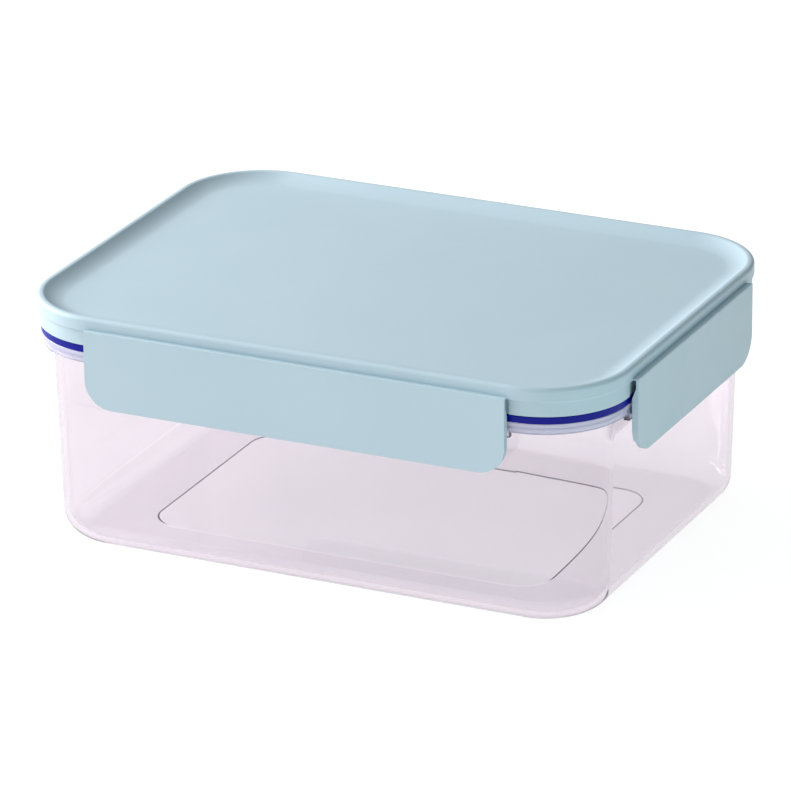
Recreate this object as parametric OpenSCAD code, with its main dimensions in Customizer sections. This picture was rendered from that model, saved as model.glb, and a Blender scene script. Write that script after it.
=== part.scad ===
// Food container with a clear body, a sealed lid and a hinged clip on each side.
// Millimetres, +Z up, +X along the length. The origin is the middle of the base.
//
// Every wall runs round one rounded rectangle, so each section below is drawn once,
// as (distance from the corner axis, height), and swept round that rectangle.

/* [Overall] */
// Length over the lid's rim
length = 220; // [190:1:250]
// Width over the lid's rim
width = 165; // [145:1:190]
// Height with the lid shut
height = 89; // [75:1:130]
// Corner radius of the lid's rim
corner_r = 31; // [29:0.5:34]

/* [Container] */
// Wall and floor thickness
wall_t = 2.2; // [1.6:0.1:3]
// How far the wall stands inside the lid's rim, just below the flange
wall_inset = 5.5; // [5:0.1:7]
// Inward lean of the wall for each millimetre of height
draft = 0.028; // [0.01:0.002:0.05]
// Outer radius along the bottom edge
base_edge_r = 9.6; // [6:0.2:12]
// Depth of the recess under the floor
base_recess = 0.8; // [0.4:0.1:1.2]
// Corner radius of that recess
base_recess_r = 12; // [8:1:18]
// Height of the flange round the mouth
flange_h = 3.9; // [3:0.1:5]
// Thickness of the rail that each clip hooks under
rail_h = 3.4; // [2.8:0.1:3.8]
// How far each rail stands proud of the flange
rail_proud = 0.8; // [0.6:0.1:0.9]

/* [Lid] */
// Height of the lid's rim bead
bead_h = 5.2; // [4.5:0.1:6]
// Outer edge radius of the bead
bead_edge_r = 1.5; // [0.8:0.1:2]
// Depth of the dished top below the rim
dish = 3; // [2:0.1:3.6]
// Radius of the dish's sweep up to the rim
dish_r = 12; // [8:0.5:16]
// Thickness of the top panel
panel_t = 2; // [1.6:0.1:2.4]
// Height of the skirt under the bead
skirt_h = 5.3; // [4.5:0.1:6]
// Step from the bead in to the skirt
skirt_step = 0.7; // [0.4:0.1:0.9]

/* [Clips] */
// How far the front and rear clips stop short of each corner's curve
long_clip_gap = 0.5; // [0.5:0.5:15]
// How far the left and right clips stop short of each corner's curve
short_clip_gap = 1; // [0.5:0.5:12]
// Height of a clip
clip_h = 27.8; // [25:0.1:32]
// Thickness of a clip's plate
clip_t = 1.7; // [1.4:0.1:1.9]
// How far a clip's face stands proud of the lid's rim
clip_proud = 2.2; // [2.2:0.1:2.6]
// Radius of a clip's lower corners
clip_corner_r = 10; // [4:0.5:12]

/* [Hidden] */

$fn = 96;
CLEAR = "#e9e6f2";
PALE_BLUE = "#bcd2dd";
NAVY = "#060a4a";
ARC_STEPS = 8;

// The corner axes stand at the corners of this rectangle.
core_l = length / 2 - corner_r;
core_w = width / 2 - corner_r;

// Turns that bring the +X side round to each side of the container.
FRONT = -90;
RIGHT = 0;
REAR = 90;
LEFT = 180;

// Heights, from the top down
bead_bottom = height - bead_h;
skirt_bottom = bead_bottom - skirt_h;
flange_gap = 2.7;
flange_top = skirt_bottom - flange_gap;
flange_bottom = flange_top - flange_h;
rim_h = 4.4;
rim_top = flange_top + rim_h;
channel_roof = rim_top + 2.4;
panel_top = height - dish;
panel_bottom = panel_top - panel_t;

// Container radii and levels
wall_r = corner_r - wall_inset;
rim_outer = corner_r - 2.5;
rim_t = 1.6;
rim_inner = rim_outer - rim_t;
rim_edge = 0.4;
flange_outer = corner_r - 1.2;
flange_step = 0.3;
flange_t = 1.5;
web_bottom = flange_bottom + 1.7;
ledge = flange_top - 1.2;
rail_outer = flange_outer + rail_proud;
rail_bottom = web_bottom - rail_h;
rail_edge = 0.4;
base_r = wall_r - draft * (flange_bottom - base_edge_r);
inner_edge_r = base_edge_r - wall_t;
lean = atan(draft);
recess_margin = 4;

// Lid radii
skirt_outer = corner_r - skirt_step;
skirt_inner = rim_outer + 0.8;
notch_inner = skirt_inner + 0.5;
bead_foot = 0.4;
dish_edge_r = 1.5;
dish_slope = acos(1 - dish / (dish_r + dish_edge_r));
dish_w = (dish_r + dish_edge_r) * sin(dish_slope);
land_inner = corner_r - bead_edge_r - 0.4;
plug_outer = rim_inner - 2;
plug_t = 1.5;
plug_bottom = ledge + 0.8;
notch_play = 0.4;

// Gasket
gasket_gap = 0.2;
gasket_lip_bottom = ledge + 0.4;
gasket_foot_outer = flange_outer - gasket_gap / 2;
gasket_foot_bottom = flange_top + gasket_gap / 2;

// Clips
clip_face = corner_r + clip_proud;
clip_top = height - bead_h + 1.3;
clip_bottom = clip_top - clip_h;
clip_inner = clip_face - clip_t;
clip_edge_r = 0.8;
nose_r = 0.45;
hinge_r = clip_face - nose_r;
hinge_z = clip_top - nose_r;
thin_bottom = hinge_z - 3.2;
slope_bottom = thin_bottom - 3.6;
rib_t = 1.5;
rib_inner = rail_outer + 0.3;
web_t = 0.5;
web_gap = 0.02;
web_top = clip_top - 0.15;
snap_reach = 1.8;
snap_h = 1.7;
snap_top = rail_bottom - 0.2;
snap_lead = 0.8;

// Points along an arc, from angle a to angle b
function arc(centre, r, a, b) =
    [for (i = [0:ARC_STEPS])
        let (t = a + (b - a) * i / ARC_STEPS)
        centre + r * [cos(t), sin(t)]];

// Outer face of the wall at height z
function wall_at(z) = wall_r - draft * (flange_bottom - z);

// Sweeps the section round the rounded rectangle
module around() {
    for (turn = [RIGHT, REAR, LEFT, FRONT]) {
        side(turn) rotate([90, 0, 0])
            linear_extrude(2 * half_run(turn), center = true) children();
        side(turn) translate([0, half_run(turn), 0])
            rotate_extrude(angle = 90) children();
    }
}

// Half the straight run of a side
function half_run(turn) = is_long(turn) ? core_l : core_w;
function is_long(turn) = turn == FRONT || turn == REAR;
function clip_run(turn) =
    2 * (half_run(turn) - (is_long(turn) ? long_clip_gap : short_clip_gap));

// Moves work drawn on the +X side, with its corner axis at x = 0, to the named side
module side(turn) {
    rotate([0, 0, turn])
        translate([is_long(turn) ? core_w : core_l, 0, 0]) children();
}

// Extrudes a section along a side, centred on it
module along(run) {
    rotate([90, 0, 0]) linear_extrude(run, center = true) children();
}

module rounded_rectangle(half_x, half_y, r) {
    square([2 * half_x, 2 * (half_y - r)], center = true);
    square([2 * (half_x - r), 2 * half_y], center = true);
    for (x = [-1, 1], y = [-1, 1])
        translate([x * (half_x - r), y * (half_y - r)]) circle(r);
}

// ---- Container ----

module container_section() {
    outer_edge = arc([base_r - base_edge_r, base_edge_r], base_edge_r, -90, -lean);
    inner_edge = arc([base_r - base_edge_r, base_edge_r], inner_edge_r, -lean, -90);
    polygon(concat(
        [[0, 0]],
        outer_edge,
        [[wall_at(web_bottom), web_bottom],
         [flange_outer - flange_t, web_bottom],
         [flange_outer - flange_t, flange_bottom],
         [flange_outer - flange_step, flange_bottom],
         [flange_outer - flange_step, web_bottom],
         [flange_outer, web_bottom + flange_step],
         [flange_outer, flange_top],
         [rim_outer, flange_top],
         [rim_outer, rim_top - rim_edge],
         [rim_outer - rim_edge, rim_top],
         [rim_inner + rim_edge, rim_top],
         [rim_inner, rim_top - rim_edge],
         [rim_inner, ledge],
         [wall_at(ledge) - wall_t + rim_edge, ledge],
         [wall_at(ledge) - wall_t, ledge - rim_edge]],
        inner_edge,
        [[0, wall_t]]));
}

module rail_section() {
    polygon([[flange_outer - flange_t, rail_bottom],
             [rail_outer - rail_edge, rail_bottom],
             [rail_outer, rail_bottom + rail_edge],
             [rail_outer, web_bottom - rail_proud - flange_step],
             [flange_outer - flange_step, web_bottom],
             [flange_outer - flange_t, web_bottom]]);
}

module container_floor() {
    difference() {
        translate([-core_l, -core_w, 0]) cube([2 * core_l, 2 * core_w, wall_t]);
        translate([0, 0, -1]) linear_extrude(base_recess + 1)
            rounded_rectangle(core_l - recess_margin, core_w - recess_margin,
                              base_recess_r);
    }
}

module container_body() {
    color(CLEAR, 0.4) {
        around() container_section();
        container_floor();
        for (turn = [RIGHT, REAR, LEFT, FRONT])
            side(turn) along(2 * half_run(turn)) rail_section();
    }
}

// ---- Lid ----

module lid_section() {
    edge_centre = [corner_r - bead_edge_r, height - bead_edge_r];
    outer_edge = arc(edge_centre, bead_edge_r, 0, 90);
    dish_edge = arc([land_inner, height - dish_edge_r], dish_edge_r,
                    90, 90 + dish_slope);
    dish_sweep = arc([land_inner - dish_w, panel_top + dish_r], dish_r,
                     dish_slope - 90, -90);
    polygon(concat(
        [[0, panel_bottom],
         [plug_outer - plug_t, panel_bottom],
         [plug_outer - plug_t, plug_bottom],
         [plug_outer, plug_bottom],
         [plug_outer, channel_roof],
         [skirt_inner, channel_roof],
         [skirt_inner, skirt_bottom],
         [skirt_outer, skirt_bottom],
         [skirt_outer, bead_bottom],
         [corner_r, bead_bottom + bead_foot]],
        outer_edge,
        dish_edge,
        dish_sweep,
        [[0, panel_top]]));
}

// Behind each clip the skirt thins to a wall that closes the gasket's channel
module skirt_notch(turn) {
    depth = corner_r - notch_inner + 1;
    run = clip_run(turn) + 2 * notch_play;
    side(turn) translate([notch_inner, -run / 2, skirt_bottom - 1])
        cube([depth, run, skirt_h + 1]);
}

module lid_shell() {
    color(PALE_BLUE) difference() {
        union() {
            around() lid_section();
            translate([-core_l, -core_w, panel_bottom])
                cube([2 * core_l, 2 * core_w, panel_t]);
        }
        for (turn = [RIGHT, REAR, LEFT, FRONT]) skirt_notch(turn);
    }
}

// ---- Gasket ----

// It folds over the mouth's rim. Its foot shows between the skirt and the flange.
module gasket() {
    inner = plug_outer + gasket_gap / 2;
    lip_outer = rim_inner - gasket_gap;
    leg_inner = rim_outer + gasket_gap / 2;
    leg_outer = skirt_inner - gasket_gap;
    foot_top = skirt_bottom - gasket_gap;
    color(NAVY) around() polygon([
        [inner, gasket_lip_bottom],
        [lip_outer, gasket_lip_bottom],
        [lip_outer, rim_top + gasket_gap],
        [leg_inner, rim_top + gasket_gap],
        [leg_inner, gasket_foot_bottom],
        [gasket_foot_outer, gasket_foot_bottom],
        [gasket_foot_outer, foot_top],
        [leg_outer, foot_top],
        [leg_outer, channel_roof],
        [inner, channel_roof]]);
}

// ---- Clips ----

// Thin at the hinge, then thickening inwards to the full plate
module clip_section() {
    polygon([[clip_inner, clip_bottom + clip_edge_r],
             [clip_inner + clip_edge_r, clip_bottom],
             [clip_face - clip_edge_r, clip_bottom],
             [clip_face, clip_bottom + clip_edge_r],
             [clip_face, hinge_z],
             [hinge_r - nose_r, hinge_z],
             [hinge_r - nose_r, thin_bottom],
             [clip_inner, slope_bottom]]);
    translate([hinge_r, hinge_z]) circle(nose_r);
}

// Each end is closed by a rib that reaches in past the rail's outer face
module rib_section() {
    polygon([[rib_inner, clip_bottom],
             [clip_face - clip_edge_r, clip_bottom],
             [clip_face - clip_edge_r, thin_bottom],
             [hinge_r - nose_r, thin_bottom],
             [rib_inner, slope_bottom]]);
}

module clip_outline(run) {
    r = clip_corner_r;
    translate([-run / 2, clip_bottom + r]) square([run, clip_h - r]);
    translate([-run / 2 + r, clip_bottom]) square([run - 2 * r, r + 1]);
    for (end = [-1, 1])
        translate([end * (run / 2 - r), clip_bottom + r]) circle(r);
}

module clip(turn) {
    run = clip_run(turn);
    color(PALE_BLUE) side(turn) intersection() {
        union() {
            along(run) clip_section();
            for (end = [-1, 1])
                translate([0, end * (run - rib_t) / 2, 0]) along(rib_t) rib_section();
        }
        translate([rib_inner - 1, 0, 0]) rotate([90, 0, 90])
            linear_extrude(clip_face - rib_inner + 2) clip_outline(run);
    }
}

// Flexible strip between the lid's bead and the top of a clip
module hinge_web(turn) {
    color(PALE_BLUE) side(turn) along(clip_run(turn)) polygon([
        [corner_r, web_top - web_t],
        [hinge_r - nose_r - web_gap, web_top - web_t],
        [hinge_r - nose_r - web_gap, web_top],
        [corner_r, web_top]]);
}

// Ridge inside a clip that snaps under the container's rail
module snap_bead(turn) {
    color(PALE_BLUE) side(turn) along(clip_run(turn) - 2 * clip_corner_r) polygon([
        [clip_inner, snap_top - snap_h],
        [clip_inner, snap_top],
        [clip_inner - snap_reach, snap_top],
        [clip_inner - snap_reach, snap_top - snap_h + snap_lead]]);
}

container_body();
lid_shell();
gasket();
clip(FRONT);  // clip_front
clip(RIGHT);  // clip_right
clip(REAR);  // clip_rear
clip(LEFT);  // clip_left
hinge_web(FRONT);  // hinge_web_front
hinge_web(RIGHT);  // hinge_web_right
hinge_web(REAR);  // hinge_web_rear
hinge_web(LEFT);  // hinge_web_left
snap_bead(FRONT);  // snap_bead_front
snap_bead(RIGHT);  // snap_bead_right
snap_bead(REAR);  // snap_bead_rear
snap_bead(LEFT);  // snap_bead_left
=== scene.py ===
import math

import bmesh
import bpy
from mathutils import Matrix, Vector


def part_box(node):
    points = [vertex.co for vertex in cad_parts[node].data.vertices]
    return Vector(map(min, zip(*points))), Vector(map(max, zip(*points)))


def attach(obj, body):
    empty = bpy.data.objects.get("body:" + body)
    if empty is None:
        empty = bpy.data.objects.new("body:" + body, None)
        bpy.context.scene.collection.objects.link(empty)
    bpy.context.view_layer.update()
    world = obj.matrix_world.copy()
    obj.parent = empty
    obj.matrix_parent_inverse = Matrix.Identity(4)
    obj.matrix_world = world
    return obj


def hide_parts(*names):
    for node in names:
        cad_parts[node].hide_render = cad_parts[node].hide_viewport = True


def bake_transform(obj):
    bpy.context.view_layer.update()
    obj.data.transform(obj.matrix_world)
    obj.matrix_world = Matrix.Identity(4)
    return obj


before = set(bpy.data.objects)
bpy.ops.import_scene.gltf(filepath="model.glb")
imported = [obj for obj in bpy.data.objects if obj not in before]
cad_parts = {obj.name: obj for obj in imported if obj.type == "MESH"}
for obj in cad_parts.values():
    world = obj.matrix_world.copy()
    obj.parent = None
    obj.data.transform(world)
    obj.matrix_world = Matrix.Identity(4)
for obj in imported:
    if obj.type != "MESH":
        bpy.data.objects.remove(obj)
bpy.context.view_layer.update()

# ---------------------------------------------------------------------------
# Sizes in millimetres, as in the CAD source. The main ones are read from the frame.
# Every section is drawn as (distance from the corner axis, height).
# ---------------------------------------------------------------------------
MM = 0.001


def mm_box(node):
    """The lowest and highest corners of a CAD node, in millimetres."""
    low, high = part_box(node)
    return low / MM, high / MM


lid_low, lid_high = mm_box("lid_shell")
_, body_high = mm_box("container_body")
gasket_low, gasket_high = mm_box("gasket")
_, long_clip_high = mm_box("clip_front")
clip_low, clip_high = mm_box("clip_right")
ridge_low, ridge_high = mm_box("snap_bead_right")
web_low, web_high = mm_box("hinge_web_right")

CORNER_R = 31.0
CORE_X = lid_high.x - CORNER_R
CORE_Y = lid_high.y - CORNER_R

# Heights, from the top down
HEIGHT = lid_high.z
BEAD_H, SKIRT_H, FLANGE_GAP, FLANGE_H, LIP_H = 5.2, 5.3, 2.7, 3.9, 1.7
BEAD_BOTTOM = HEIGHT - BEAD_H
SKIRT_BOTTOM = BEAD_BOTTOM - SKIRT_H
FLANGE_TOP = SKIRT_BOTTOM - FLANGE_GAP
FLANGE_BOTTOM = FLANGE_TOP - FLANGE_H
LIP_TOP = FLANGE_BOTTOM + LIP_H
RIM_TOP = body_high.z
LEDGE_DROP = 1.2
LEDGE = FLANGE_TOP - LEDGE_DROP
RAIL_H = 3.4
RAIL_BOTTOM = LIP_TOP - RAIL_H
CHANNEL_ROOF = gasket_high.z
DISH_DEPTH, PANEL_T = 3.0, 2.0
PANEL_TOP = HEIGHT - DISH_DEPTH
PANEL_BOTTOM = PANEL_TOP - PANEL_T

# Container
WALL_T, WALL_R = 2.2, 25.5
DRAFT = 0.028
BASE_EDGE_R = 9.6
RECESS_DEPTH, RECESS_R, RECESS_MARGIN = 0.8, 12.0, 4.0
RECESS_FLAT, RECESS_RIM = 1.0, 0.4  # the flat strips just inside and outside the recess's edge
RIM_OUTER, RIM_INNER = 28.5, 26.9
FLANGE_OUTER = 29.8
FLANGE_T, FLANGE_STEP = 1.5, 0.3
LIP_OUTER, LIP_INNER = FLANGE_OUTER - FLANGE_STEP, FLANGE_OUTER - FLANGE_T
RAIL_OUTER = body_high.x - CORE_X
EDGE_CUT = 0.3  # the small chamfers under the base, the flange's lip and the skirt

# Lid
BEAD_EDGE_R, BEAD_FOOT, BEAD_LAND = 1.5, 0.4, 0.4
SKIRT_OUTER, SKIRT_INNER = 30.3, 29.3
SKIRT_EDGE, SKIRT_EDGE_MIDDLE = 0.4, 0.12  # its outer bottom edge, and the point halfway round
NOTCH_WALL, NOTCH_PLAY = 0.5, 0.4  # behind each clip the skirt thins to a narrow wall
NOTCH_INNER = SKIRT_INNER + NOTCH_WALL
NOTCH_EDGE, NOTCH_EDGE_H, NOTCH_RAISE = 0.15, 0.2, 0.04
PLUG_OUTER, PLUG_INNER = 24.9, 23.4
DISH_R = 12.0
LAND_INNER = CORNER_R - BEAD_EDGE_R - BEAD_LAND
FLAT_UNDER, FLAT_TOP = 6.0, 2.0  # from the plug wall and the dish's sweep to the panel's flat middle

# Gasket. It overlaps the rim and the flange slightly, so that it shows through them.
GASKET_GAP, GASKET_TOUCH = 0.2, 0.04
GASKET_INNER, GASKET_OUTER = PLUG_OUTER + GASKET_GAP / 2, SKIRT_INNER - GASKET_GAP
GASKET_FOOT = FLANGE_OUTER - GASKET_GAP / 2

# Clips
CLIP_FACE = clip_high.x - CORE_X
CLIP_TOP, CLIP_BOTTOM = clip_high.z, clip_low.z
CLIP_T = 1.7
CLIP_INNER = CLIP_FACE - CLIP_T
CLIP_CORNER_R = 10.0
CLIP_BEVEL = 0.45
NOSE_R = 0.45
HINGE_R, HINGE_Z = CLIP_FACE - NOSE_R, CLIP_TOP - NOSE_R
CLIP_BACK = HINGE_R - NOSE_R
THIN_H, SLOPE_H = 3.2, 3.6
THIN_BOTTOM = HINGE_Z - THIN_H
SLOPE_BOTTOM = THIN_BOTTOM - SLOPE_H
RIB_T = 1.5
RIB_INNER = clip_low.x - CORE_X
RIDGE_BITE, RIDGE_HEEL, RIDGE_RAMP = 0.3, 0.25, 0.8  # bite: how far it runs into its plate
STRIP_BITE_LID, STRIP_BITE_CLIP = 0.25, 0.12  # how far it runs into the lid and into the clip
STRIP_NECK = 0.12

# Mesh fineness
CORNER_STEPS = 28
ARC_STEPS = 12
FILLET_STEPS = 5
BEVEL_STEPS = 3
BEAD_STEPS, LAND_STEPS = 10, 6
NOSE_STEPS = 8
CLIP_CORNER_STEPS = 14
STRIP_STEPS = 14
SHARP_ANGLE = math.radians(38)
ANGLE_PLAY = 1e-6

# Each side: the turn that brings +X round to it, the distance of its corner axes from the
# centre, half of its straight run, and half of its clip's width.
SIDES = {
    "right": (0, CORE_X, CORE_Y, clip_high.y),
    "rear": (90, CORE_Y, CORE_X, long_clip_high.x),
    "left": (180, CORE_X, CORE_Y, clip_high.y),
    "front": (-90, CORE_Y, CORE_X, long_clip_high.x),
}

# Each corner: the side that follows it, its x sign, its y sign and its first angle.
CORNERS = [("rear", 1, 1, 0), ("left", -1, 1, 90), ("front", -1, -1, 180), ("right", 1, -1, 270)]


# ---------------------------------------------------------------------------
# Mesh tools
# ---------------------------------------------------------------------------
def arc(centre, r, a, b, steps=ARC_STEPS):
    """Points on an arc from angle a to angle b, in degrees."""
    found = []
    for i in range(steps + 1):
        t = math.radians(a + (b - a) * i / steps)
        found.append((centre[0] + r * math.cos(t), centre[1] + r * math.sin(t)))
    return found


def fillet(before, corner, after, r):
    """Points that round one corner of a section with radius r."""
    p, a, b = Vector(corner), Vector(before), Vector(after)
    u, v = (a - p).normalized(), (b - p).normalized()
    half = u.angle(v) / 2
    reach = r / math.tan(half)
    centre = p + (u + v).normalized() * (r / math.sin(half))
    start, end = p + u * reach - centre, p + v * reach - centre
    turn = start.angle_signed(end)
    points = []
    for i in range(FILLET_STEPS + 1):
        t = -turn * i / FILLET_STEPS
        c, s = math.cos(t), math.sin(t)
        points.append(
            (centre.x + start.x * c - start.y * s, centre.y + start.x * s + start.y * c)
        )
    return points


def rounded(points, closed=False):
    """A section with its corners rounded.
    Each point is (distance, height), or (distance, height, radius) where it is rounded."""
    out = []
    n = len(points)
    for i, p in enumerate(points):
        r = p[2] if len(p) > 2 else 0
        if r == 0 or (not closed and i in (0, n - 1)):
            out.append((p[0], p[1]))
        else:
            out += fillet(points[i - 1][:2], p[:2], points[(i + 1) % n][:2], r)
    return out


def ring_stations(runs=None):
    """(corner x sign, corner y sign, angle, shift x, shift y) round the rounded rectangle.
    runs gives, for each side, how far from its middle two extra stations stand."""
    stations = []
    for side, sx, sy, first in CORNERS:
        for i in range(CORNER_STEPS + 1):
            stations.append((sx, sy, math.radians(first + 90 * i / CORNER_STEPS), 0.0, 0.0))
        if runs:
            turn, _, half, _ = SIDES[side]
            angle = math.radians(turn)
            along = Vector((-math.sin(angle), math.cos(angle)))
            gap = half - runs[side]
            for shift in (gap, 2 * half - gap):
                stations.append((sx, sy, angle, along.x * shift, along.y * shift))
    return stations


def ring_point(station, rho, z, core):
    """The point at a station, rho out from its corner axis, at height z."""
    sx, sy, angle, dx, dy = station
    return Vector(
        (sx * core[0] + dx + rho * math.cos(angle), sy * core[1] + dy + rho * math.sin(angle), z)
    )


def swept(section, runs=None, swap=None, first_cores=()):
    """A closed mesh: the open section swept round the rounded rectangle, with flat end caps.
    swap is (first, last, points): along each straight run, those points stand in for the
    section's own between first and last.
    first_cores replaces the corner axes of the first rings."""
    bm = bmesh.new()
    stations = ring_stations(runs)
    cores = list(first_cores) + [(CORE_X, CORE_Y)] * (len(section) - len(first_cores))
    rings = [
        [bm.verts.new(ring_point(s, rho, z, core)) for s in stations]
        for (rho, z), core in zip(section, cores)
    ]
    count = len(stations)
    run_start = CORNER_STEPS + 1 if runs else CORNER_STEPS
    straight = {k * (count // 4) + run_start for k in range(4)}
    first, last, points = swap or (0, 0, [])
    for i in range(len(rings) - 1):
        for j in range(count):
            if j in straight and first <= i < last:
                continue
            k = (j + 1) % count
            bm.faces.new((rings[i][j], rings[i][k], rings[i + 1][k], rings[i + 1][j]))
    bm.faces.new(list(reversed(rings[0])))
    bm.faces.new(rings[-1])
    if swap:
        for j in straight:
            k = (j + 1) % count
            near = [bm.verts.new(ring_point(stations[j], r, z, cores[first])) for r, z in points]
            far = [bm.verts.new(ring_point(stations[k], r, z, cores[first])) for r, z in points]
            line_j = [rings[first][j]] + near + [rings[last][j]]
            line_k = [rings[first][k]] + far + [rings[last][k]]
            for m in range(len(line_j) - 1):
                bm.faces.new((line_j[m], line_k[m], line_k[m + 1], line_j[m + 1]))
            bm.faces.new([rings[i][j] for i in range(first, last + 1)] + list(reversed(near)))
            bm.faces.new([rings[i][k] for i in range(last, first - 1, -1)] + far)
    return bm


def ring_of(section):
    """A closed section swept round the rounded rectangle."""
    bm = bmesh.new()
    stations = ring_stations()
    core = (CORE_X, CORE_Y)
    rings = [[bm.verts.new(ring_point(s, rho, z, core)) for s in stations] for rho, z in section]
    count = len(stations)
    for i, ring in enumerate(rings):
        above = rings[(i + 1) % len(rings)]
        for j in range(count):
            k = (j + 1) % count
            bm.faces.new((ring[j], ring[k], above[k], above[j]))
    return bm


def prism(section, half_run):
    """A closed section extruded along Y, centred."""
    bm = bmesh.new()
    ends = [[bm.verts.new((x, y, z)) for x, z in section] for y in (-half_run, half_run)]
    n = len(section)
    for i in range(n):
        k = (i + 1) % n
        bm.faces.new((ends[0][i], ends[0][k], ends[1][k], ends[1][i]))
    bm.faces.new(ends[0])
    bm.faces.new(list(reversed(ends[1])))
    return bm


def to_side(bm, side):
    """Moves work drawn on the +X side, with its corner axis at x = 0, to the named side."""
    turn, core, _, _ = SIDES[side]
    move = Matrix.Rotation(math.radians(turn), 4, "Z") @ Matrix.Translation((core, 0, 0))
    bmesh.ops.transform(bm, matrix=move, verts=bm.verts)
    return bm


def finish_mesh(bm, name, bevel=0.0):
    """Turns a mesh in millimetres into an object in metres, with its sharp edges marked."""
    bmesh.ops.recalc_face_normals(bm, faces=bm.faces)
    if bevel:
        sharp = [e for e in bm.edges if len(e.link_faces) == 2 and e.calc_face_angle() > SHARP_ANGLE]
        bmesh.ops.bevel(
            bm, geom=sharp, offset=bevel, segments=BEVEL_STEPS, profile=0.5,
            affect="EDGES", clamp_overlap=True,
        )
        bmesh.ops.recalc_face_normals(bm, faces=bm.faces)
    for face in bm.faces:
        face.smooth = True
    for edge in bm.edges:
        edge.smooth = len(edge.link_faces) != 2 or edge.calc_face_angle() < SHARP_ANGLE
    bmesh.ops.scale(bm, vec=(MM, MM, MM), verts=bm.verts)
    mesh = bpy.data.meshes.new(name)
    bm.to_mesh(mesh)
    bm.free()
    piece = bpy.data.objects.new(name, mesh)
    bpy.context.scene.collection.objects.link(piece)
    weighted = piece.modifiers.new("even_shading", "WEIGHTED_NORMAL")
    weighted.keep_sharp = True
    return piece


# ---------------------------------------------------------------------------
# Materials
# ---------------------------------------------------------------------------
BLUE_DARK, BLUE_LIGHT = (0.470, 0.612, 0.690), (0.488, 0.628, 0.704)
NAVY_DARK, NAVY_LIGHT = (0.001, 0.004, 0.230), (0.002, 0.006, 0.290)
CLEAR_DARK, CLEAR_LIGHT = (0.970, 0.962, 0.974), (0.990, 0.985, 0.990)
CLEAR_SHADOW = (0.96, 0.96, 0.96)
VIOLET, VIOLET_DENSITY = (0.46, 0.22, 0.45), 66.0

# The flange's painted reflection: an opaque lavender surface that stands in for the navy gasket seen in
# the clear flange. Its colour, roughness and specular level, how strong it is on the flange, the share
# of that left on the rim, and the heights over which it comes and goes.
PAINTED_REFLECTION, PAINTED_REFLECTION_ROUGHNESS, PAINTED_REFLECTION_SPECULAR = (0.68, 0.68, 0.88), 0.15, 0.3
PAINTED_REFLECTION_FLANGE, PAINTED_REFLECTION_RIM = 0.65, 0.2
PAINTED_REFLECTION_FROM, PAINTED_REFLECTION_TO = RAIL_BOTTOM - 0.5, LIP_TOP + 1
PAINTED_REFLECTION_FADE = 0.6

PLASTIC_IOR, SILICONE_IOR = 1.49, 1.41

# Noise stays between these values nearly everywhere.
NOISE_LOW, NOISE_HIGH = 0.3, 0.7


class Shader:
    """A new material and the short-hand for building its nodes."""

    def __init__(self, name):
        self.material = bpy.data.materials.new(name)
        self.material.use_nodes = True
        self.nodes = self.material.node_tree.nodes
        self.links = self.material.node_tree.links
        self.bsdf = self.nodes["Principled BSDF"]
        self.output = self.nodes["Material Output"]
        self.place = self.nodes.new("ShaderNodeTexCoord").outputs["Object"]

    def set(self, **values):
        """Sets plain numbers and colours on the surface's own sockets."""
        for socket, value in values.items():
            self.bsdf.inputs[socket.replace("_", " ")].default_value = value

    def drive(self, socket, value):
        """Links a varying value to one of the surface's sockets."""
        self.links.new(value, self.bsdf.inputs[socket])

    def noise(self, scale, detail, roughness=0.5):
        node = self.nodes.new("ShaderNodeTexNoise")
        node.inputs["Scale"].default_value = scale
        node.inputs["Detail"].default_value = detail
        node.inputs["Roughness"].default_value = roughness
        self.links.new(self.place, node.inputs["Vector"])
        return node.outputs["Fac"]

    def map_range(self, value, start, end, low, high, interpolation="LINEAR"):
        """Goes from low to high as the value goes from start to end."""
        node = self.nodes.new("ShaderNodeMapRange")
        node.interpolation_type = interpolation
        node.inputs["From Min"].default_value = start
        node.inputs["From Max"].default_value = end
        node.inputs["To Min"].default_value = low
        node.inputs["To Max"].default_value = high
        self.links.new(value, node.inputs["Value"])
        return node.outputs["Result"]

    def spread(self, value, low, high):
        """Maps a noise value to the range low to high."""
        return self.map_range(value, NOISE_LOW, NOISE_HIGH, low, high)

    def above(self, start, end, low, high):
        """Goes from low to high between two heights, in millimetres."""
        parts = self.nodes.new("ShaderNodeSeparateXYZ")
        self.links.new(self.place, parts.inputs["Vector"])
        return self.map_range(parts.outputs["Z"], start * MM, end * MM, low, high, "SMOOTHSTEP")

    def blend_colours(self, value, low, high):
        """Sets the base colour to go from low to high as the value goes from 0 to 1."""
        node = self.nodes.new("ShaderNodeMix")
        node.data_type = "RGBA"
        node.inputs["A"].default_value = (*low, 1)
        node.inputs["B"].default_value = (*high, 1)
        self.links.new(value, node.inputs["Factor"])
        self.drive("Base Color", node.outputs["Result"])

    def product(self, one, other):
        node = self.nodes.new("ShaderNodeMath")
        node.operation = "MULTIPLY"
        self.links.new(one, node.inputs[0])
        self.links.new(other, node.inputs[1])
        return node.outputs["Value"]

    def mix(self, amount, under, over):
        """Mixes two surfaces: the second one shows by the amount, from 0 to 1."""
        node = self.nodes.new("ShaderNodeMixShader")
        self.links.new(amount, node.inputs["Fac"])
        self.links.new(under, node.inputs[1])
        self.links.new(over, node.inputs[2])
        return node.outputs["Shader"]

    def bump(self, value, distance, strength, before=None):
        """Bumps the surface by a value. before is a coarser or finer bump to add it to."""
        node = self.nodes.new("ShaderNodeBump")
        node.inputs["Distance"].default_value = distance
        node.inputs["Strength"].default_value = strength
        self.links.new(value, node.inputs["Height"])
        if before:
            self.links.new(before, node.inputs["Normal"])
        return node.outputs["Normal"]


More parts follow.
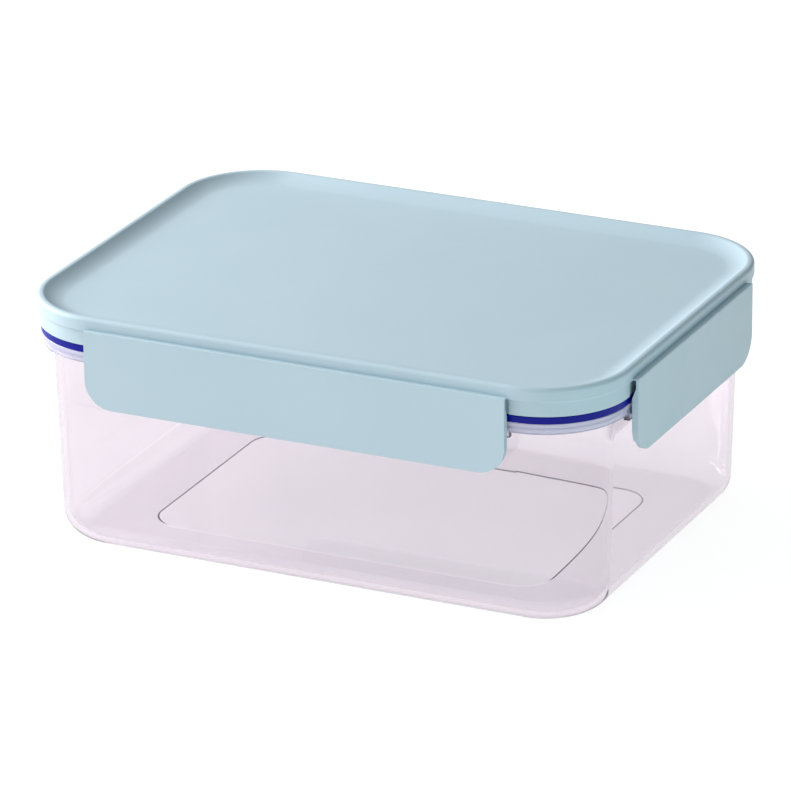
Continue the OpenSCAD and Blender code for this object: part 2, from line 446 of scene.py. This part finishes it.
def satin_plastic(name, dark, light):
    """Moulded polypropylene: fine grain, slow colour drift and slightly uneven gloss."""
    s = Shader(name)
    s.set(IOR=PLASTIC_IOR, Specular_IOR_Level=0.5)
    s.blend_colours(s.spread(s.noise(scale=22, detail=3), low=0, high=1), dark, light)
    s.drive("Roughness", s.spread(s.noise(scale=140, detail=3), low=0.40, high=0.50))
    grain = s.bump(s.noise(scale=2600, detail=2, roughness=0.6), distance=0.00004, strength=0.25)
    waves = s.bump(s.noise(scale=30, detail=1), distance=0.0004, strength=0.08, before=grain)
    s.drive("Normal", waves)
    return s.material


def clear_plastic(name):
    """Polished clear plastic with a faint violet tint and a painted lavender reflection of the gasket
    at the flange, that lets lamps through.
    """
    s = Shader(name)
    s.set(IOR=PLASTIC_IOR, Transmission_Weight=1.0, Specular_IOR_Level=0.2)
    s.blend_colours(s.spread(s.noise(scale=18, detail=2), low=0, high=1), CLEAR_DARK, CLEAR_LIGHT)
    s.drive("Roughness", s.spread(s.noise(scale=90, detail=3), low=0.0, high=0.03))
    s.drive("Normal", s.bump(s.noise(scale=16, detail=1), distance=0.0006, strength=0.03))

    ray = s.nodes.new("ShaderNodeLightPath")
    shadow = s.nodes.new("ShaderNodeBsdfTransparent")
    shadow.inputs["Color"].default_value = (*CLEAR_SHADOW, 1)
    polished = s.mix(ray.outputs["Is Shadow Ray"], s.bsdf.outputs["BSDF"], shadow.outputs["BSDF"])

    # Painted reflection: an opaque lavender surface mixed over the flange's band of heights, standing
    # in for the navy gasket seen in the clear plastic.
    rising = s.above(PAINTED_REFLECTION_FROM, PAINTED_REFLECTION_TO, low=0.0, high=PAINTED_REFLECTION_FLANGE)
    falling = s.above(FLANGE_TOP, FLANGE_TOP + PAINTED_REFLECTION_FADE, low=1.0, high=PAINTED_REFLECTION_RIM)
    painted_reflection = s.nodes.new("ShaderNodeBsdfPrincipled")
    painted_reflection.inputs["Base Color"].default_value = (*PAINTED_REFLECTION, 1)
    painted_reflection.inputs["Roughness"].default_value = PAINTED_REFLECTION_ROUGHNESS
    painted_reflection.inputs["Specular IOR Level"].default_value = PAINTED_REFLECTION_SPECULAR
    surface = s.mix(s.product(rising, falling), polished, painted_reflection.outputs["BSDF"])
    s.links.new(surface, s.output.inputs["Surface"])

    tint = s.nodes.new("ShaderNodeVolumeAbsorption")
    tint.inputs["Color"].default_value = (*VIOLET, 1)
    tint.inputs["Density"].default_value = VIOLET_DENSITY
    s.links.new(tint.outputs["Volume"], s.output.inputs["Volume"])
    return s.material


def silicone(name, dark, light):
    """Moulded silicone: soft sheen, with faint bloom."""
    s = Shader(name)
    s.set(IOR=SILICONE_IOR, Specular_IOR_Level=0.25)
    s.blend_colours(s.spread(s.noise(scale=60, detail=3), low=0, high=1), dark, light)
    s.drive("Roughness", s.spread(s.noise(scale=300, detail=2), low=0.34, high=0.46))
    s.drive("Normal", s.bump(s.noise(scale=1200, detail=2), distance=0.00003, strength=0.2))
    return s.material


blue = satin_plastic("pale_blue_moulding", BLUE_DARK, BLUE_LIGHT)
clear = clear_plastic("clear_moulding")
navy = silicone("navy_silicone", NAVY_DARK, NAVY_LIGHT)


def settle(piece, material, body, slot, *nodes):
    """Gives a piece its material and the body it rides on, and hides the CAD nodes it stands for."""
    piece.data.materials.append(material)
    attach(piece, body)
    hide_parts(*nodes)


# ---------------------------------------------------------------------------
# Container
# ---------------------------------------------------------------------------
def wall_at(z):
    """The leaning wall's outer face at a height."""
    return WALL_R - DRAFT * (FLANGE_BOTTOM - z)


def container_mesh():
    lean = math.degrees(math.atan(DRAFT))
    edge = (wall_at(BASE_EDGE_R) - BASE_EDGE_R, BASE_EDGE_R)
    outside = arc(edge, BASE_EDGE_R, -90, -lean)
    inside = arc(edge, BASE_EDGE_R - WALL_T, -lean, -90)
    recess_core = (CORE_X - RECESS_MARGIN - RECESS_R, CORE_Y - RECESS_MARGIN - RECESS_R)
    recess = [
        (RECESS_R - RECESS_FLAT, RECESS_DEPTH),
        (RECESS_R - EDGE_CUT, RECESS_DEPTH),
        (RECESS_R, EDGE_CUT),
        (RECESS_R + RECESS_RIM, 0.0),
    ]
    under_flange = [
        (wall_at(LIP_TOP), LIP_TOP, 0.5),
        (LIP_INNER, LIP_TOP, 0.3),
        (LIP_INNER, FLANGE_BOTTOM + EDGE_CUT),
    ]
    lip = [
        (LIP_INNER + EDGE_CUT, FLANGE_BOTTOM),
        (LIP_OUTER - EDGE_CUT, FLANGE_BOTTOM),
        (LIP_OUTER, FLANGE_BOTTOM + EDGE_CUT),
        (LIP_OUTER, LIP_TOP),
    ]
    flange_and_rim = [
        (FLANGE_OUTER, LIP_TOP + FLANGE_STEP, 0.2),
        (FLANGE_OUTER, FLANGE_TOP, 0.35),
        (RIM_OUTER, FLANGE_TOP, 0.25),
        (RIM_OUTER, RIM_TOP, 0.6),
        (RIM_INNER, RIM_TOP, 0.6),
        (RIM_INNER, LEDGE, 0.3),
        (wall_at(LEDGE) - WALL_T, LEDGE, 0.8),
    ]
    section = recess + rounded(outside + under_flange + lip + flange_and_rim + inside)
    rail = rounded(
        [
            (LIP_INNER, FLANGE_BOTTOM),
            (LIP_INNER, RAIL_BOTTOM, 0.3),
            (RAIL_OUTER, RAIL_BOTTOM, 0.5),
            (RAIL_OUTER, LIP_TOP - (RAIL_OUTER - FLANGE_OUTER) - FLANGE_STEP, 0.4),
            (LIP_OUTER, LIP_TOP),
        ]
    )[1:-1]
    rail_ends = section.index(under_flange[-1]), section.index(lip[-1])
    return swept(section, swap=(*rail_ends, rail), first_cores=[recess_core] * len(recess))


container = finish_mesh(container_mesh(), "container")
settle(container, clear, "container", "clear_plastic", "container_body")


# ---------------------------------------------------------------------------
# Lid
# ---------------------------------------------------------------------------
def lid_mesh():
    slope = math.degrees(math.acos(1 - (HEIGHT - PANEL_TOP) / (DISH_R + BEAD_EDGE_R)))
    width = (DISH_R + BEAD_EDGE_R) * math.sin(math.radians(slope))
    flat_r = LAND_INNER - width
    under = rounded(
        [
            (PLUG_INNER - FLAT_UNDER, PANEL_BOTTOM),
            (PLUG_INNER, PANEL_BOTTOM, 0.6),
            (PLUG_INNER, lid_low.z, 0.4),
            (PLUG_OUTER, lid_low.z, 0.4),
            (PLUG_OUTER, CHANNEL_ROOF, 0.3),
            (SKIRT_INNER, CHANNEL_ROOF),
        ]
    )
    skirt = [
        (SKIRT_INNER, SKIRT_BOTTOM + EDGE_CUT),
        (SKIRT_INNER + EDGE_CUT, SKIRT_BOTTOM),
        (SKIRT_OUTER - SKIRT_EDGE, SKIRT_BOTTOM),
        (SKIRT_OUTER - SKIRT_EDGE_MIDDLE, SKIRT_BOTTOM + SKIRT_EDGE_MIDDLE),
        (SKIRT_OUTER, SKIRT_BOTTOM + SKIRT_EDGE),
        (SKIRT_OUTER, BEAD_BOTTOM),
    ]
    bead = rounded(
        [
            (SKIRT_OUTER, BEAD_BOTTOM),
            (CORNER_R, BEAD_BOTTOM + BEAD_FOOT, 0.25),
            (CORNER_R, HEIGHT - BEAD_EDGE_R),
        ]
    )[1:-1]
    edge_z = HEIGHT - BEAD_EDGE_R
    top = (
        arc((CORNER_R - BEAD_EDGE_R, edge_z), BEAD_EDGE_R, 0, 90, BEAD_STEPS)
        + arc((LAND_INNER, edge_z), BEAD_EDGE_R, 90, 90 + slope, LAND_STEPS)
        + arc((flat_r, PANEL_TOP + DISH_R), DISH_R, slope - 90, -90)[1:]
        + [(flat_r - FLAT_TOP, PANEL_TOP)]
    )
    thin_wall = [
        (SKIRT_INNER + NOTCH_EDGE, SKIRT_BOTTOM + NOTCH_RAISE),
        (NOTCH_INNER - NOTCH_EDGE, SKIRT_BOTTOM + NOTCH_RAISE),
        (NOTCH_INNER, SKIRT_BOTTOM + NOTCH_EDGE_H),
        (NOTCH_INNER, BEAD_BOTTOM),
    ]
    runs = {side: half_clip + NOTCH_PLAY for side, (_, _, _, half_clip) in SIDES.items()}
    first = len(under)
    last = first + len(skirt) - 1
    return swept(under + skirt + bead + top, runs=runs, swap=(first, last, thin_wall))


lid = finish_mesh(lid_mesh(), "lid")
settle(lid, blue, "lid", "pale_blue_plastic", "lid_shell")


# ---------------------------------------------------------------------------
# Gasket
# ---------------------------------------------------------------------------
def gasket_mesh():
    lip, leg = RIM_INNER + GASKET_TOUCH, RIM_OUTER - GASKET_TOUCH
    roof, foot = RIM_TOP + GASKET_GAP, FLANGE_TOP - GASKET_TOUCH
    foot_top = SKIRT_BOTTOM - GASKET_GAP
    section = rounded(
        [
            (GASKET_INNER, gasket_low.z, 0.3),
            (lip, gasket_low.z, 0.6),
            (lip, roof, 0.2),
            (leg, roof, 0.2),
            (leg, foot, 0.1),
            (GASKET_FOOT, foot, 0.25),
            (GASKET_FOOT, foot_top, 0.25),
            (GASKET_OUTER, foot_top, 0.1),
            (GASKET_OUTER, CHANNEL_ROOF, 0.1),
            (GASKET_INNER, CHANNEL_ROOF, 0.3),
        ],
        closed=True,
    )
    return ring_of(section)


seal = finish_mesh(gasket_mesh(), "seal")
settle(seal, navy, "lid", "gasket_rubber", "gasket")


# ---------------------------------------------------------------------------
# Clips, their snap ridges and the thin strips they hang from
# ---------------------------------------------------------------------------
def clip_mesh(half_run):
    """A plate with a thin top edge, rounded lower corners and a rib across each end."""
    r = CLIP_CORNER_R
    nose = arc((HINGE_R, HINGE_Z), NOSE_R, 0, 180, NOSE_STEPS)
    rib_angle = math.degrees(math.asin((r - RIB_T) / r))
    angles = sorted([90 * i / CLIP_CORNER_STEPS for i in range(CLIP_CORNER_STEPS + 1)] + [rib_angle])
    half = []
    for a in angles:
        t = math.radians(a)
        half.append((half_run - r + r * math.sin(t), CLIP_BOTTOM + r - r * math.cos(t), a))
    columns = [(-y, low, a) for y, low, a in reversed(half)] + half

    bm = bmesh.new()

    def column(y, low, inner):
        """One upright section of the plate at y: the face, the nose and the back."""
        back = [(CLIP_BACK, THIN_BOTTOM), (inner, SLOPE_BOTTOM), (inner, low)]
        return [(CLIP_FACE, y, low)] + [(x, y, z) for x, z in nose] + [(x, y, z) for x, z in back]

    # Each row is (ring, stepped ring, y). Only the two rows where a rib starts have a stepped
    # ring: it has the rib's depth, and is used on the side towards the clip's end.
    rows = []
    for y, low, a in columns:
        ribbed = a > rib_angle + ANGLE_PLAY
        at_rib = abs(a - rib_angle) <= ANGLE_PLAY
        ring = [bm.verts.new(p) for p in column(y, low, RIB_INNER if ribbed else CLIP_INNER)]
        stepped = None
        if at_rib:
            stepped = ring[:-2] + [bm.verts.new(p) for p in column(y, low, RIB_INNER)[-2:]]
        rows.append((ring, stepped, y))

    n = len(rows[0][0])
    for (ring_a, stepped_a, y_a), (ring_b, stepped_b, y_b) in zip(rows, rows[1:]):
        left = stepped_a if stepped_a and y_a > 0 else ring_a
        right = stepped_b if stepped_b and y_b < 0 else ring_b
        for i in range(n):
            k = (i + 1) % n
            corners = [left[i], left[k], right[k], right[i]]
            if k == 0 and left is stepped_a:
                corners = [left[i], ring_a[i], left[k], right[k], right[i]]
            if k == 0 and right is stepped_b:
                corners = [left[i], left[k], right[k], ring_b[i], right[i]]
            bm.faces.new(corners)
    for ring, stepped, _ in rows:
        if stepped:
            bm.faces.new((ring[-3], ring[-2], stepped[-2]))
            bm.faces.new((ring[-2], ring[-1], stepped[-1], stepped[-2]))
    bm.faces.new(rows[0][0])
    bm.faces.new(list(reversed(rows[-1][0])))
    return bm


def snap_ridge_mesh(half_run):
    """A ridge with a ramp below and a square catch above, sunk into the back of the plate."""
    inner, outer = ridge_low.x - CORE_X, ridge_high.x - CORE_X
    section = rounded(
        [
            (outer + RIDGE_BITE, ridge_low.z - RIDGE_HEEL),
            (outer, ridge_low.z, 0.1),
            (inner, ridge_low.z + RIDGE_RAMP, 0.3),
            (inner, ridge_high.z, 0.3),
            (outer, ridge_high.z),
            (outer + RIDGE_BITE, ridge_high.z),
        ],
        closed=True,
    )
    return prism(section, half_run)


def hinge_strip_mesh(half_run):
    """A thin strip, in narrow rows, necked in the middle."""
    inner, outer = CORNER_R - STRIP_BITE_LID, CLIP_BACK + STRIP_BITE_CLIP
    upper, lower = [], []
    for i in range(STRIP_STEPS + 1):
        t = i / STRIP_STEPS
        x = inner + (outer - inner) * t
        neck = STRIP_NECK * math.sin(math.pi * t)
        upper.append((x, web_high.z - neck))
        lower.append((x, web_low.z + neck / 2))
    return prism(upper + list(reversed(lower)), half_run)


for side, (turn, core, _, half_clip) in SIDES.items():
    body = "clip_" + side
    plate = finish_mesh(to_side(clip_mesh(half_clip), side), "clip_plate_" + side, CLIP_BEVEL)
    settle(plate, blue, body, "pale_blue_plastic", "clip_" + side)

    ridge_bm = to_side(snap_ridge_mesh(half_clip - CLIP_CORNER_R), side)
    ridge = finish_mesh(ridge_bm, "snap_ridge_" + side)
    settle(ridge, blue, body, "pale_blue_plastic", "snap_bead_" + side)

    strip = finish_mesh(to_side(hinge_strip_mesh(half_clip), side), "hinge_strip_" + side)
    strip.data.materials.append(blue)
    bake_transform(strip)
    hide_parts("hinge_web_" + side)


# ---------------------------------------------------------------------------
# Stage, light and camera, in metres
# ---------------------------------------------------------------------------
FLOOR_R, FLOOR_SIDES = 30.0, 64
FLOOR_GAP = 0.0001
PAPER_GREY, PAPER_GLOW, PAPER_ROUGHNESS, PAPER_SPECULAR = 0.22, 0.90, 0.9, 0.1

# The studio's brightness near the horizon, overhead, and what the window adds.
SKY_HORIZON, SKY_TOP, SKY_WINDOW = 0.04, 0.58, 0.65
SKY_UP, SKY_FROM, SKY_TO = (-0.45, -0.05, 0.89), 0.0, 0.8
WINDOW, WINDOW_FROM, WINDOW_TO = (-0.94, -0.10, 0.33), 0.35, 0.95

MIDDLE = Vector((0, 0, 0.05))

LENS_MM, SENSOR_MM = 285.08, 36.0
NEAR, FAR = 0.05, 100.0
AZIMUTH, ELEVATION, ROLL = 25.308, 21.352, -0.556
DISTANCE, ASIDE, RISE = 2.20176, -0.001055, 0.040657


def add_floor():
    """White paper just under the base, which glows a little so that it stays white."""
    bm = bmesh.new()
    bmesh.ops.create_circle(bm, cap_ends=True, radius=FLOOR_R, segments=FLOOR_SIDES)
    mesh = bpy.data.meshes.new("floor")
    bm.to_mesh(mesh)
    bm.free()
    floor = bpy.data.objects.new("floor", mesh)
    floor.location.z = -FLOOR_GAP
    bpy.context.scene.collection.objects.link(floor)
    paper = Shader("white_paper")
    paper.set(
        Base_Color=(PAPER_GREY, PAPER_GREY, PAPER_GREY, 1),
        Roughness=PAPER_ROUGHNESS,
        Specular_IOR_Level=PAPER_SPECULAR,
        Emission_Color=(1, 1, 1, 1),
        Emission_Strength=PAPER_GLOW,
    )
    mesh.materials.append(paper.material)


def add_sky():
    """Soft white studio: bright above and to the left, dim near the horizon, on pure white."""
    world = bpy.data.worlds.new("studio")
    bpy.context.scene.world = world
    world.use_nodes = True
    nodes, links = world.node_tree.nodes, world.node_tree.links
    output, light = nodes["World Output"], nodes["Background"]
    light.inputs["Color"].default_value = (1.0, 1.0, 1.0, 1)
    place = nodes.new("ShaderNodeTexCoord").outputs["Generated"]

    def brightness(direction, start, end, low, high):
        """Goes from low to high as the view turns towards the direction."""
        dot = nodes.new("ShaderNodeVectorMath")
        dot.operation = "DOT_PRODUCT"
        dot.inputs[1].default_value = Vector(direction).normalized()
        ramp = nodes.new("ShaderNodeMapRange")
        ramp.interpolation_type = "SMOOTHSTEP"
        ramp.inputs["From Min"].default_value = start
        ramp.inputs["From Max"].default_value = end
        ramp.inputs["To Min"].default_value = low
        ramp.inputs["To Max"].default_value = high
        links.new(place, dot.inputs[0])
        links.new(dot.outputs["Value"], ramp.inputs["Value"])
        return ramp.outputs["Result"]

    total = nodes.new("ShaderNodeMath")
    total.operation = "ADD"
    links.new(brightness(SKY_UP, SKY_FROM, SKY_TO, SKY_HORIZON, SKY_TOP), total.inputs[0])
    links.new(brightness(WINDOW, WINDOW_FROM, WINDOW_TO, 0.0, SKY_WINDOW), total.inputs[1])
    links.new(total.outputs["Value"], light.inputs["Strength"])

    backdrop = nodes.new("ShaderNodeBackground")
    seen = nodes.new("ShaderNodeLightPath")
    mix = nodes.new("ShaderNodeMixShader")
    links.new(seen.outputs["Is Camera Ray"], mix.inputs["Fac"])
    links.new(light.outputs["Background"], mix.inputs[1])
    links.new(backdrop.outputs["Background"], mix.inputs[2])
    links.new(mix.outputs["Shader"], output.inputs["Surface"])


def add_lamp(name, towards, distance, strength, size, colour):
    """A square soft box. Its strength is the light it throws on the container's middle, in W/m2."""
    data = bpy.data.lights.new(name, "AREA")
    data.color = colour
    data.energy = strength * math.pi * distance**2
    data.size = size
    holder = bpy.data.objects.new(name, data)
    direction = Vector(towards).normalized()
    holder.location = MIDDLE + direction * distance
    holder.rotation_euler = direction.to_track_quat("Z", "Y").to_euler()
    bpy.context.scene.collection.objects.link(holder)


def add_camera():
    """A long lens that looks at the front and right sides from above."""
    data = bpy.data.cameras.new("camera")
    data.lens = LENS_MM
    data.sensor_width = SENSOR_MM
    data.clip_start, data.clip_end = NEAR, FAR
    camera = bpy.data.objects.new("camera", data)
    bpy.context.scene.collection.objects.link(camera)
    az, el, roll = (math.radians(x) for x in (AZIMUTH, ELEVATION, ROLL))
    back = Vector((math.sin(az) * math.cos(el), -math.cos(az) * math.cos(el), math.sin(el)))
    across = (-back).cross(Vector((0, 0, 1))).normalized()
    up = across.cross(-back)
    place = back * DISTANCE + across * ASIDE + up * RISE
    turned_across = across * math.cos(roll) + up * math.sin(roll)
    turned_up = up * math.cos(roll) - across * math.sin(roll)
    axes = Matrix((turned_across, turned_up, back)).transposed()
    camera.matrix_world = Matrix.Translation(place) @ axes.to_4x4()
    bpy.context.scene.camera = camera


add_floor()
add_sky()
add_lamp("key", (-0.86, -0.17, 0.48), distance=1.0, strength=3.5, size=0.70, colour=(1, 1, 1))
add_lamp("fill", (0.86, -0.46, 0.20), distance=0.40, strength=0.32, size=0.15, colour=(0.55, 1, 1))
add_camera()
bpy.context.scene.view_settings.view_transform = "Standard"
